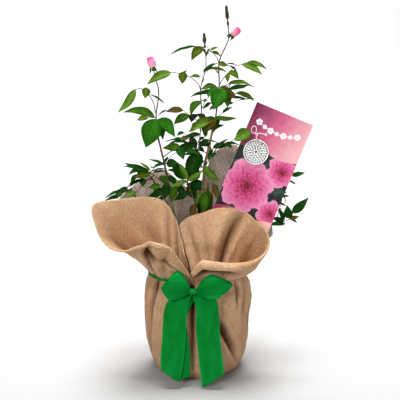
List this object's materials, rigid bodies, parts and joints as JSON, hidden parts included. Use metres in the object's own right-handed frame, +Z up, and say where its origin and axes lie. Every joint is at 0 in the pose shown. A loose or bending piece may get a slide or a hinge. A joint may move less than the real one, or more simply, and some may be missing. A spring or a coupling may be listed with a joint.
{
  "type": "potted rose bush in a gift wrap",
  "caption": "Young rose bush in bud in a black pot wrapped in flaring burlap, tied with a green satin bow, with a picture label on a stake and a round metal charm.",
  "frame": {"origin": "middle of the wrapped pot's flat underside, on the surface it stands on", "axes": "+Z up along the bush, -Y towards the side with the bow, X across the wrap's two front flaps"},
  "size_m": [0.3906, 0.2307, 0.6698],
  "materials": {
    "foliage": "satin",
    "bark": "satin",
    "burlap": "rough",
    "ribbon": "satin",
    "pot_plastic": "matte",
    "compost": "rough",
    "card": "satin",
    "charm_metal": "satin",
    "charm_ribbon": "satin"
  },
  "bodies": {
    "root": {"bow_knot": "ribbon", "bow_loop_left": "ribbon", "bow_loop_right": "ribbon", "cane_back": "bark", "cane_centre": "bark", "cane_green": "bark", "cane_left": "bark", "cane_low_left": "bark", "cane_low_right": "bark", "cane_middle": "bark", "cane_outer_left": "bark", "cane_right": "bark", "cane_side_right": "bark", "charm_disc": "charm_metal", "charm_ribbon": "charm_ribbon", "compost": "compost", "crown_centre": "foliage", "crown_left": "foliage", "crown_right": "foliage", "graft_knuckle": "bark", "label_card": "card", "pot": "pot_plastic", "ribbon_band": "ribbon", "ribbon_tail_left": "ribbon", "ribbon_tail_right": "ribbon", "ribbon_tail_under": "ribbon", "spray_back": "foliage", "spray_card_side": "foliage", "spray_foot_left": "foliage", "spray_green": "foliage", "spray_inner_left": "foliage", "spray_low_left": "foliage", "spray_low_right": "foliage", "spray_middle": "foliage", "spray_outer_left": "foliage", "spray_side_right": "foliage", "wrap_body": "burlap", "wrap_flap_back": "burlap", "wrap_flap_left": "burlap", "wrap_flap_right": "burlap"}
  },
  "joints": []
}
